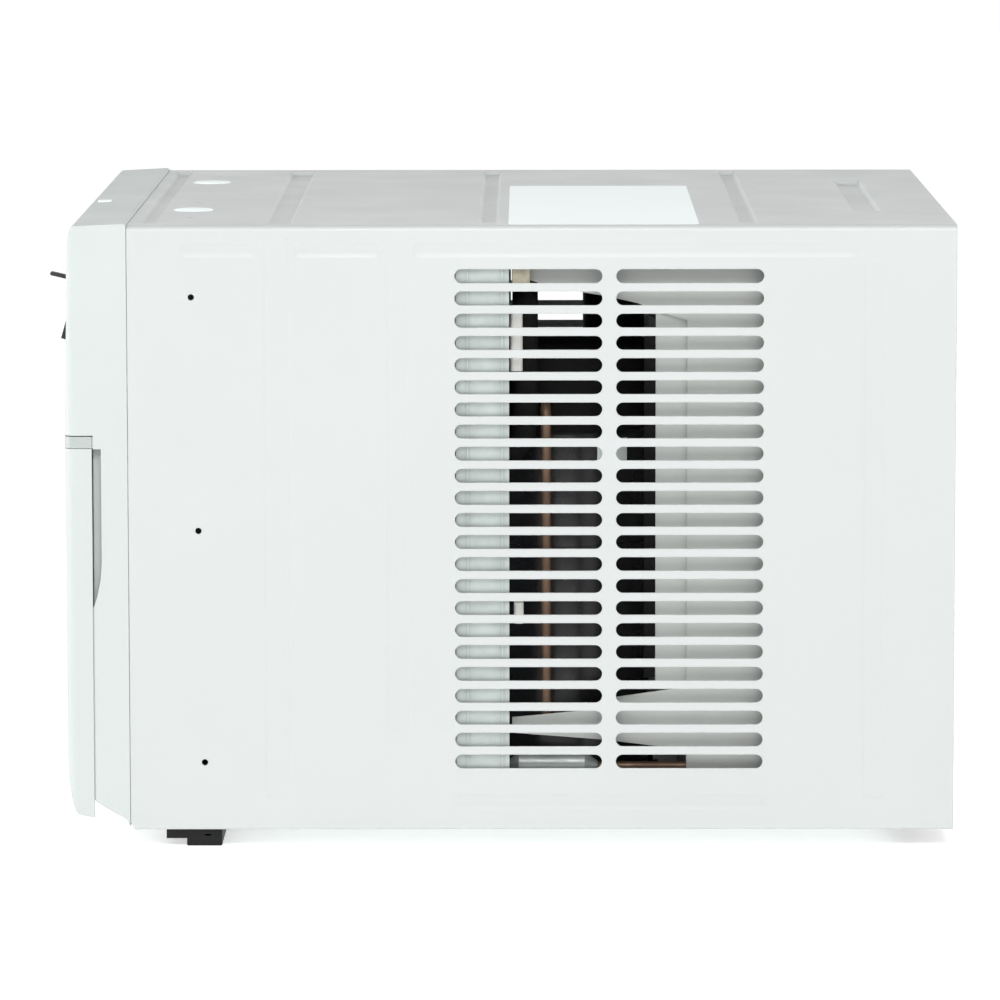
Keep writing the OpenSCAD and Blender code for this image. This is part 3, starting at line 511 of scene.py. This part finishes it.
def make_lines():
    """Smooth bent lines in place of the CAD's straight runs."""
    suction = [(66, 240, 228), (66, 240, 333), (216, 240, 333), (216, 240, 240),
               (216, 26, 240), (203, 26, 240)]
    suction_r, suction_bend = 8.0, 15
    discharge = [(194.6, 252.5, 267), (222, 252.5, 267), (222, 252.5, 67.5), (222, 444.7, 67.5)]
    discharge_r, discharge_bend = 3.2, 10
    liquid = [(221, 444.7, 46.5), (221, 284, 46.5)]
    capillary = [(221, 228, 46.5), (221, 70, 46.5), (221, 70, 70), (221, 26, 70), (203, 26, 70)]
    liquid_r, capillary_r, liquid_bend = 3.0, 1.6, 9
    tube("suction_sleeve", [suction], [suction_r], suction_bend, "line_insulation",
         "suction_line")
    tube("discharge_tube", [discharge], [discharge_r], discharge_bend, "copper",
         "discharge_line")
    tube("liquid_tubes", [liquid, capillary], [liquid_r, capillary_r], liquid_bend, "copper",
         "capillary_tube")


# ------------------------------------------------------------------ trim on the cabinet

def make_top_trim():
    """Blank label, pad and plugs on the top, and the strip under the rear edge."""
    top = top_z / MM
    label, paper = rectangle(-85, 235, 230, 345, corner=3), 0.15
    pad, pad_z0, pad_z1 = rectangle(42, 51, -29.5, -21, corner=1.5), 378.4, 379.9
    strip, strip_z0, strip_z1 = rectangle(-232, 232, 465, 496, corner=1), 9.6, 11.0
    plates("blank_label", [label], on_top, top, top + paper, LABEL, "chassis", soften=0.00005)
    plates("bezel_pad", [pad], on_top, pad_z0, pad_z1, LABEL, "chassis", soften=0.0002)
    plug_x, plug_d = 118, 34.4
    dome = [(0, -0.85), (12.3, -0.85), (12.5, -0.2), (12.3, 0.3), (11.0, 0.75), (7.0, 1.05),
            (0, 1.15)]
    for x, name in ((-plug_x, "plug_left"), (plug_x, "plug_right")):
        bm = bmesh.new()
        lathe(bm, dome, lambda u, v, w, centre=x: on_top(centre + u, plug_d + v, top + w))
        mesh_piece(name, bm, LABEL, "chassis")
    plates("rear_strip", [strip], on_top, strip_z0, strip_z1, MATERIALS["rubber_black"],
           "chassis", soften=0.0004)


def make_inner_trim():
    """Small pieces that show through the side slots."""
    block = rectangle(222, 236, 232, 243, corner=1)
    plates("seal_block", [block], on_top, 343, 353, FOAM, "chassis", soften=0.0006)
    for name, d0, d1, z0, z1 in (("line_clip", 231, 238.5, 290, 325),
                                 ("line_clip_low", 233, 239, 136, 149)):
        plates(name, [rectangle(225, 234, d0, d1, corner=2)], on_top, z0, z1,
               MATERIALS["housing_plastic"], "chassis", soften=0.0006)
    fold_x0, fold_x1 = 237.5, 238.9
    for side, name in ((-1, "bulkhead_folds_left"), (1, "bulkhead_folds_right")):
        low, high = sorted((fold_x0 * side, fold_x1 * side))
        plates(name, [rectangle(low, high, 204.8, 205.6), rectangle(low, high, 225.6, 226.5)],
               on_top, 14, 376, MATERIALS["galvanised_sheet"], "chassis")
    seal_x0, seal_x1 = 226, 228
    for side, name in ((-1, "shroud_seal_left"), (1, "shroud_seal_right")):
        low, high = sorted((seal_x0 * side, seal_x1 * side))
        plates(name, [rectangle(low, high, 312, 318.8)], on_top, 102, 316,
               MATERIALS["line_insulation"], "chassis", soften=0.0003)
    wrapped = arc_band(150, 262, r0=54.02, r1=54.2, start=24, end=48, steps=12)
    plates("compressor_label", [wrapped], on_top, 228, 244.5, LABEL, "chassis")


def screw_head(bm, centre, head_r, head_h):
    """Pan head with a cross recess, its face at centre and looking along +Y."""
    turns = 32
    pan = ((1.0, head_h), (1.0, head_h * 0.55), (0.9, head_h * 0.2), (0.7, 0.0))
    rings = []
    for share, drop in pan:
        rings.append([bm.verts.new(centre + Vector(
            (head_r * share * math.cos(2 * math.pi * i / turns), -drop,
             head_r * share * math.sin(2 * math.pi * i / turns)))) for i in range(turns)])
    for a, b in zip(rings, rings[1:]):
        for i in range(turns):
            j = (i + 1) % turns
            bm.faces.new((a[i], a[j], b[j], b[i]))
    bm.faces.new(rings[0])
    arm, half = head_r * 0.55, head_r * 0.13
    outline = [(arm, -half), (arm, half), (half, half), (half, arm), (-half, arm), (-half, half),
               (-arm, half), (-arm, -half), (-half, -half), (-half, -arm), (half, -arm),
               (half, -half)]
    inner = [bm.verts.new(centre + Vector((u, 0, v))) for u, v in outline]
    taper, sink = 0.8, head_h * 0.6
    sunk = [bm.verts.new(centre + Vector((u * taper, -sink, v * taper))) for u, v in outline]
    edges = []
    for loop in (rings[-1], inner):
        for i in range(len(loop)):
            pair = (loop[i], loop[(i + 1) % len(loop)])
            edges.append(bm.edges.get(pair) or bm.edges.new(pair))
    bmesh.ops.triangle_fill(bm, edges=edges, use_beauty=True)
    for i in range(len(inner)):
        j = (i + 1) % len(inner)
        bm.faces.new((inner[i], inner[j], sunk[j], sunk[i]))
    bm.faces.new(sunk)


def make_grille_seals():
    """Thin white lips that nearly close the gap between the grille and the bezel."""
    lip_x0, lip_x1 = 238.9, 240.7
    for side, name in ((-1, "grille_seal_left"), (1, "grille_seal_right")):
        low, high = sorted((lip_x0 * side, lip_x1 * side))
        for part, z0, z1 in (("_low", 30, 147.5), ("_top", 244.2, 251.2)):
            plates(name + part, [rectangle(low, high, -21.75, -21.15)], on_top, z0, z1,
                   MATERIALS["bezel_plastic"], "chassis")


def make_rear_screws():
    """Pan heads with a cross recess in place of the plain heads."""
    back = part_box("rear_screws")[1].y
    screw_x, screw_zs = 234, (52, 195, 338)
    head_r, head_h = 4.4, 1.7
    bm = bmesh.new()
    for x in (-screw_x, screw_x):
        for z in screw_zs:
            screw_head(bm, Vector((x * MM, back, z * MM)), head_r * MM, head_h * MM)
    piece = mesh_piece("rear_screw_heads", bm, MATERIALS["screw_steel"], "chassis")
    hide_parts("rear_screws")


# ------------------------------------------------------------------ filter net

def make_filter_net():
    """Woven strands in place of the flat net."""
    low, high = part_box("filter_mesh")
    pitch, strand = 0.0022, 0.00028
    y = (low.y + high.y) / 2
    bm = bmesh.new()

    sides = ((0, 1, 3, 2), (4, 6, 7, 5), (0, 4, 5, 1), (2, 3, 7, 6), (0, 2, 6, 4), (1, 5, 7, 3))

    def bar(x0, x1, y0, y1, z0, z1):
        corners = [bm.verts.new((x, y, z)) for x in (x0, x1) for y in (y0, y1) for z in (z0, z1)]
        for side in sides:
            bm.faces.new([corners[i] for i in side])

    for k in range(int((high.x - low.x) / pitch) + 1):
        x = low.x + k * pitch
        bar(x, x + strand, y - strand, y, low.z, high.z)
    for k in range(int((high.z - low.z) / pitch) + 1):
        z = low.z + k * pitch
        bar(low.x, high.x, y, y + strand, z, z + strand)
    piece = mesh_piece("filter_net", bm, MATERIALS["filter_net"], "filter", False)
    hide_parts("filter_mesh")


# ------------------------------------------------------------------ control glyphs

def glyph(kind, cx, cz):
    """Outlines of a small generic symbol about a button's centre, in millimetres."""
    bar_w = 0.32
    if kind == "power":
        return [arc_band(cx, cz, r0=1.9, r1=2.5, start=125, end=415),
                rectangle(cx - bar_w, cx + bar_w, cz + 0.6, cz + 3)]
    if kind == "mode":
        rays, ray_r = [math.pi / 4 * i for i in range(8)], 2.3
        return [disc(cx, cz, 1.1)] + [
            disc(cx + ray_r * math.cos(a), cz + ray_r * math.sin(a), 0.35, 12) for a in rays]
    if kind == "fan":
        blades, blade_r = (math.pi / 2, math.pi * 7 / 6, math.pi * 11 / 6), 1.3
        return [arc_band(cx + blade_r * math.cos(a), cz + blade_r * math.sin(a), 0.35, 1.1,
                         math.degrees(a) - 60, math.degrees(a) + 150, 12) for a in blades]
    if kind == "timer":
        r0, r1 = 1.9, 2.4
        return [arc_band(cx, cz, r0, r1, 0, 178), arc_band(cx, cz, r0, r1, 180, 358),
                rectangle(cx - bar_w / 2, cx + bar_w / 2, cz, cz + 1.5),
                rectangle(cx, cx + 1.2, cz - bar_w / 2, cz + bar_w / 2)]
    half = 2.2
    bars = [rectangle(cx - half, cx + half, cz - bar_w, cz + bar_w)]
    if kind == "plus":
        bars += [rectangle(cx - bar_w, cx + bar_w, cz + bar_w, cz + half),
                 rectangle(cx - bar_w, cx + bar_w, cz - half, cz - bar_w)]
    return bars


def make_controls():
    """Symbols on the buttons and the unlit digits of the display."""
    kinds = {"power": "power", "mode": "mode", "fan": "fan", "timer": "timer",
             "temp_down": "minus", "temp_up": "plus"}
    for button, kind in kinds.items():
        node = "button_" + button
        centre = middle(node) / MM
        front = (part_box(node)[0].y - shell_low.y) / MM
        plates("symbol_" + button, glyph(kind, centre.x, centre.z), on_front, front - 0.06,
               front + 0.1, GLYPH, node)
    low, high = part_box("display_window")
    front = (low.y - shell_low.y) / MM
    centre = (low + high) / 2 / MM
    digit_shift, row_rise, stroke_shift, stroke_rise = 6.5, 5.2, 3.3, 2.6
    thin, row_half, stroke_half = 0.5, 2.6, 1.9
    segments = []
    for digit in (-1, 1):
        cx = centre.x + digit * digit_shift
        for row in (-1, 0, 1):
            z = centre.z + row * row_rise
            segments.append(rectangle(cx - row_half, cx + row_half, z - thin, z + thin))
        for side in (-1, 1):
            for level in (-1, 1):
                x = cx + side * stroke_shift
                z = centre.z + level * stroke_rise
                segments.append(rectangle(x - thin, x + thin, z - stroke_half, z + stroke_half))
    plates("display_segments", segments, on_front, front - 0.03, front + 0.1, SEGMENT, "chassis")


# ------------------------------------------------------------------ the model

make_camera()
make_stage()
dress_cad_nodes()
make_coils()
make_lines()
make_top_trim()
make_inner_trim()
make_grille_seals()
make_rear_screws()
make_filter_net()
make_controls()
